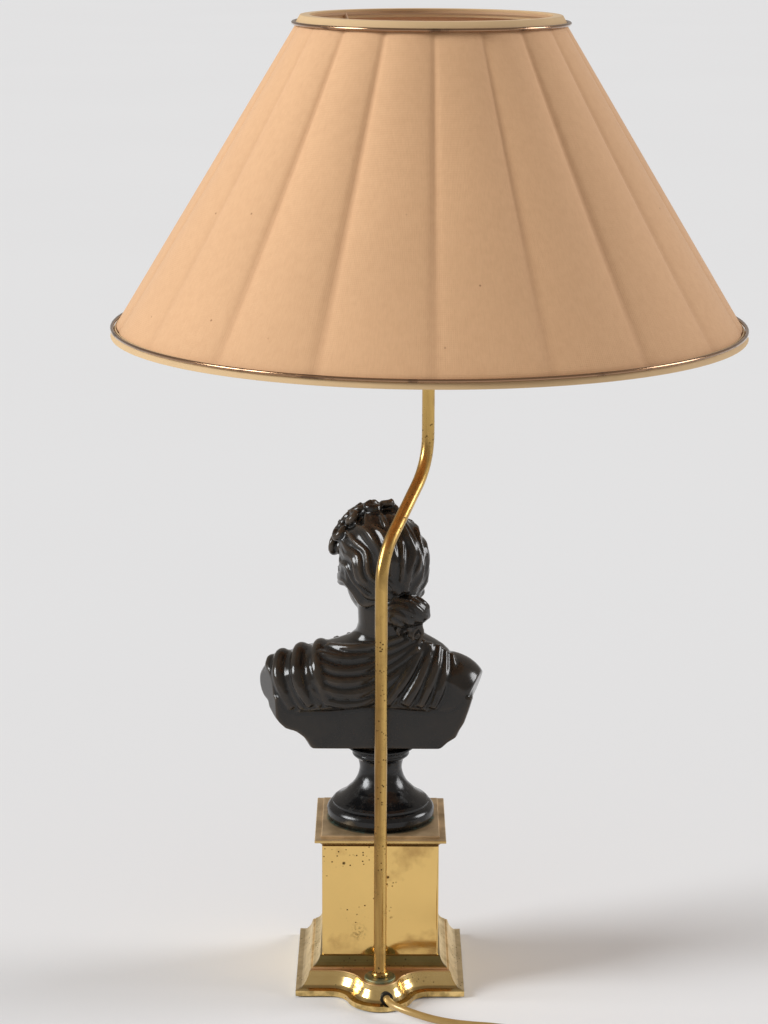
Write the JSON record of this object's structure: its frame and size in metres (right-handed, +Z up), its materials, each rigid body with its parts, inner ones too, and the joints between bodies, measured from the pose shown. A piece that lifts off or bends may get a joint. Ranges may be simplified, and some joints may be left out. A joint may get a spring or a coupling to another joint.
{
  "type": "figural table lamp",
  "caption": "Table lamp with a dark draped bust on a moulded brass pedestal, a cranked rear stem and a wide conical fabric shade.",
  "frame": {"origin": "on the table, under the middle of the square pedestal", "axes": "+Z up, the bust faces -Y, the stem and the cord are on the +Y side"},
  "size_m": [0.4976, 0.4976, 0.7793],
  "materials": {
    "plinth_brass": "cast brass, polished and aged",
    "block_brass": "polished sheet brass with dark spots",
    "cap_brass": "dull brown brass",
    "stem_brass": "tarnished brass tube",
    "seat_brass": "greenish brass",
    "bust_bronze": "bronze-black patina, rubbed brown on the heights",
    "socle_black": "gloss black",
    "felt": "dark felt",
    "steel": "plain steel",
    "black_rubber": "black rubber bushing",
    "cord_gold": "gold-brown round cord",
    "plug_plastic": "moulded plug, cord colour",
    "pin_metal": "plated pins",
    "holder_brass": "brass lampholder",
    "contact_brass": "brass contacts",
    "ceramic": "white ceramic",
    "lead_plastic": "inner lead",
    "bulb_glass": "opal glass",
    "bulb_metal": "bulb cap",
    "shade_skin": "peach-beige laminated fabric",
    "shade_tape": "bound edge tape",
    "gold_bead": "dark gold bead",
    "frame_wire": "white-painted wire",
    "switch_black": "black push bar"
  },
  "bodies": {
    "base": {"base_plinth": "plinth_brass", "base_felt": "felt", "pedestal_block": "block_brass", "pedestal_cap": "cap_brass", "tie_rod": "steel", "clamp_washer": "steel", "clamp_nut": "steel", "bust_socle": "socle_black", "bust_figure": "bust_bronze", "stem_seat_washer": "seat_brass", "friction_washer": "steel", "cord_bushing": "black_rubber", "base_lead": "lead_plastic", "supply_cord": "cord_gold", "cord_coil": "cord_gold", "cord_tail": "cord_gold", "plug_body": "plug_plastic", "plug_pins": "pin_metal"},
    "stem": {"stem_tube": "stem_brass", "stem_collar": "stem_brass", "stem_lock_nut": "steel", "stem_lead": "lead_plastic", "holder_cap": "holder_brass", "holder_skirt": "holder_brass", "holder_insert": "ceramic", "screw_shell": "contact_brass", "centre_contact": "contact_brass", "terminal_screws": "contact_brass", "shade_ring_lower": "holder_brass", "shade_ring_upper": "holder_brass", "bulb_cap": "bulb_metal", "bulb_glass": "bulb_glass"},
    "switch": {"switch_bar": "switch_black"},
    "shade": {"shade_cover": "shade_skin", "shade_bottom_ring": "frame_wire", "shade_top_frame": "frame_wire", "binding_bottom": "shade_tape", "binding_top": "shade_tape", "trim_bottom": "gold_bead", "trim_top": "gold_bead"}
  },
  "joints": [
    {"name": "stem_swivel", "type": "hinge", "parent": "base", "child": "stem", "pos_m": [0, 0.073, 0.02], "axis": [0, 0, 1], "range_deg": [-60, 120]},
    {"name": "shade_turn", "type": "hinge", "parent": "stem", "child": "shade", "pos_m": [-0.0365, 0.00978, 0.65], "axis": [0, 0, 1], "continuous": true},
    {"name": "switch_push", "type": "slide", "parent": "stem", "child": "switch", "axis": [-0.866, 0.5, 0], "range_m": [0, 0.006]}
  ]
}
